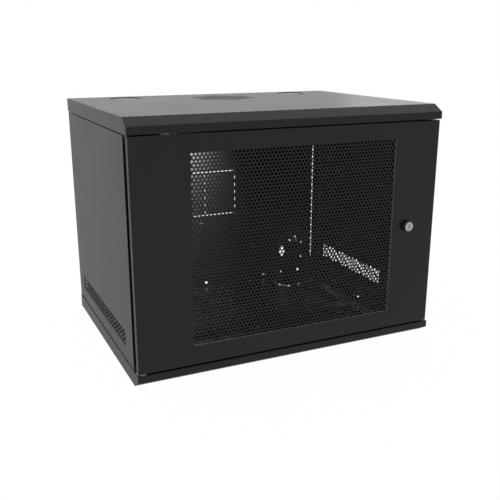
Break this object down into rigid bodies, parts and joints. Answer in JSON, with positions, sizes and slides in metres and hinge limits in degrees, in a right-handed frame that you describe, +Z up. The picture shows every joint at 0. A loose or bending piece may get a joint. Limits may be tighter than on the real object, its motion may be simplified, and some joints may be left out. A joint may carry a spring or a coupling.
{
  "type": "wall mount network cabinet",
  "caption": "Wall-mounted 19 inch network cabinet with a lockable perforated steel door, vented sides, fan vent and cable entries.",
  "frame": {"origin": "centre of the base tray's underside", "axes": "+Z up, -Y out of the door's front, +X to the right seen from the front; the wall is at +Y"},
  "size_m": [0.6, 0.457, 0.455],
  "materials": {
    "black_coated_steel": "black fine-textured powder coat, satin",
    "zinc_plated_steel": "bright zinc plate",
    "grey_washer": "grey moulded nylon, matt",
    "plated_lock_face": "satin nickel plate",
    "black_lock_body": "black die-cast body, satin"
  },
  "bodies": {
    "cabinet": {"base_tray": "black_coated_steel", "top_cover": "black_coated_steel", "left_side_panel": "black_coated_steel", "right_side_panel": "black_coated_steel", "rear_panel": "black_coated_steel", "front_left_post": "black_coated_steel", "front_right_post": "black_coated_steel", "rear_left_post": "black_coated_steel", "rear_right_post": "black_coated_steel", "floor_cross_member": "black_coated_steel", "base_left_cable_cover": "black_coated_steel", "base_right_cable_cover": "black_coated_steel", "top_left_cable_cover": "black_coated_steel", "top_right_cable_cover": "black_coated_steel", "lower_left_rail_channel": "black_coated_steel", "lower_right_rail_channel": "black_coated_steel", "upper_left_rail_channel": "black_coated_steel", "upper_right_rail_channel": "black_coated_steel", "lower_hinge_pin": "zinc_plated_steel", "lower_hinge_washer": "grey_washer", "lock_keeper": "zinc_plated_steel", "earth_stud": "zinc_plated_steel"},
    "left_rail": {"left_rack_rail": "black_coated_steel"},
    "right_rail": {"right_rack_rail": "black_coated_steel"},
    "door": {"door_skin": "black_coated_steel", "door_mesh_panel": "black_coated_steel", "hinge_pin_bracket": "black_coated_steel", "lock_housing": "black_lock_body"},
    "hinge_pin": {"upper_hinge_pin": "zinc_plated_steel", "hinge_spring": "zinc_plated_steel"},
    "lock": {"lock_plug": "plated_lock_face", "lock_cam": "zinc_plated_steel", "cam_screw": "zinc_plated_steel"}
  },
  "joints": [
    {"name": "door_hinge", "type": "hinge", "parent": "cabinet", "child": "door", "pos_m": [-0.29, -0.214, 0.2275], "axis": [0, 0, -1], "range_deg": [0, 180]},
    {"name": "lock_turn", "type": "hinge", "parent": "door", "child": "lock", "pos_m": [0.236, -0.2235, 0.2305], "axis": [0, 1, 0], "range_deg": [0, 90]},
    {"name": "hinge_pin_slide", "type": "slide", "parent": "door", "child": "hinge_pin", "axis": [0, 0, -1], "range_m": [0, 0.008], "stiffness_N_per_m": 500, "springref_m": -0.006, "deforming": ["hinge_spring"]},
    {"name": "left_rail_slide", "type": "slide", "parent": "cabinet", "child": "left_rail", "axis": [0, 1, 0], "range_m": [0, 0.15]},
    {"name": "right_rail_slide", "type": "slide", "parent": "cabinet", "child": "right_rail", "axis": [0, 1, 0], "range_m": [0, 0.15]}
  ]
}
